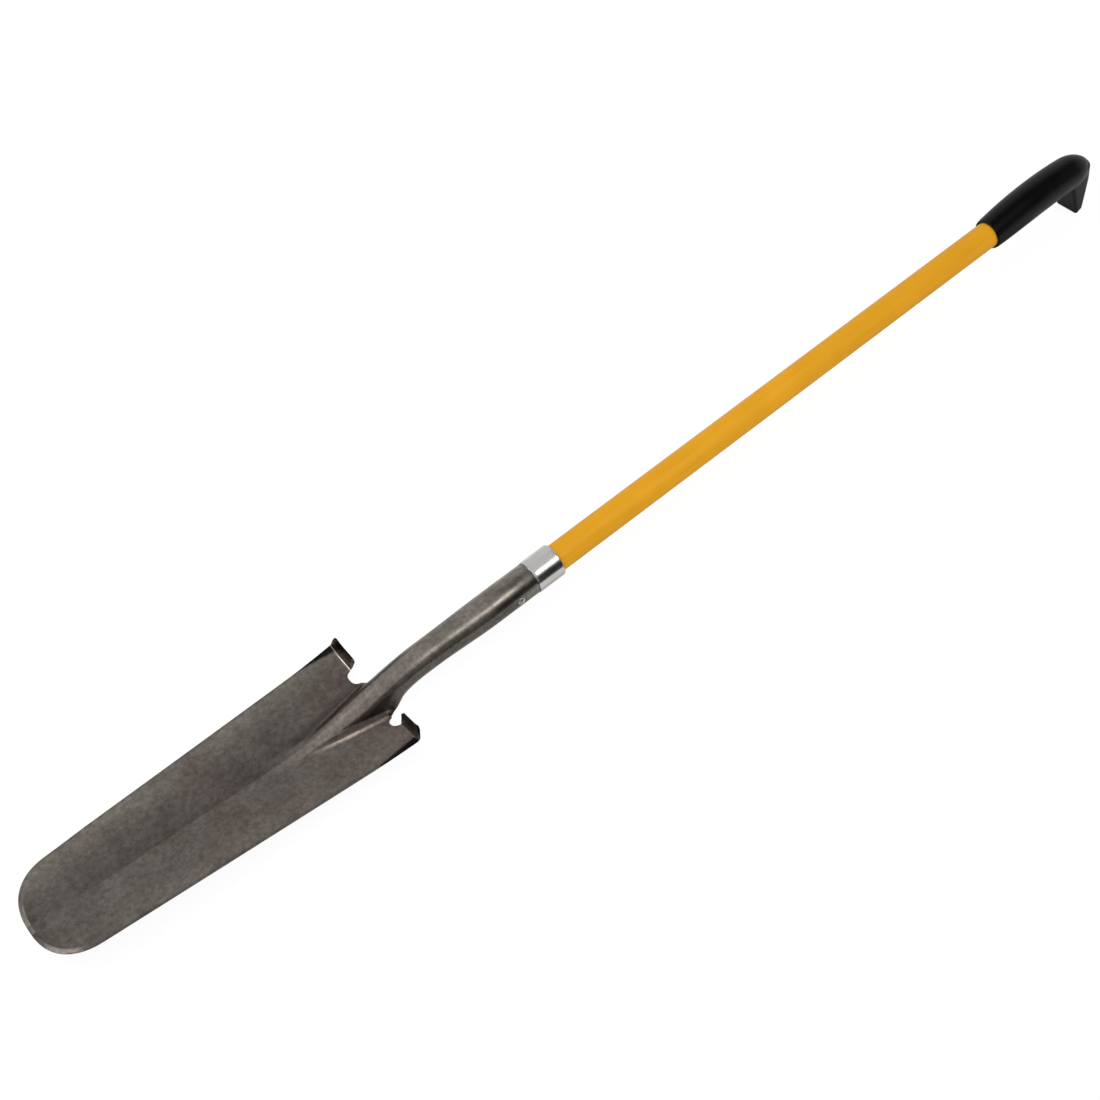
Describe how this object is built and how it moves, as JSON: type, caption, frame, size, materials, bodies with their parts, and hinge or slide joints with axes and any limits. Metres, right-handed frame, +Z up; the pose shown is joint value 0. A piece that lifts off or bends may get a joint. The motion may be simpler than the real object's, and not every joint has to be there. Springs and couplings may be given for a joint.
{
  "type": "trenching spade",
  "caption": "Long-handled trenching spade with a narrow dished blade, folded treads, rolled socket, plated collar, round pole and a hooked end grip.",
  "frame": {"origin": "middle of the bottom of the bounding box, on the floor that the spade lies on", "axes": "+X along the pole from the blade to the grip, +Y towards the left edge of the blade seen from its hollow face, +Z up and out of the hollow face"},
  "size_m": [1.4873, 0.1628, 0.0824],
  "materials": {
    "blade_steel": "tempered sheet steel under a thin clear lacquer, grey-brown and mottled",
    "collar_plate": "bright plated steel, satin",
    "rivet_steel": "bare bright steel",
    "pole_fibreglass": "yellow pigmented fibreglass, satin",
    "core_wood": "plain dowel",
    "grip_plastic": "moulded, fine matt grain"
  },
  "bodies": {
    "root": {"head": "blade_steel", "collar": "collar_plate", "rivet": "rivet_steel", "pole": "pole_fibreglass", "core": "core_wood", "grip": "grip_plastic"}
  },
  "joints": []
}
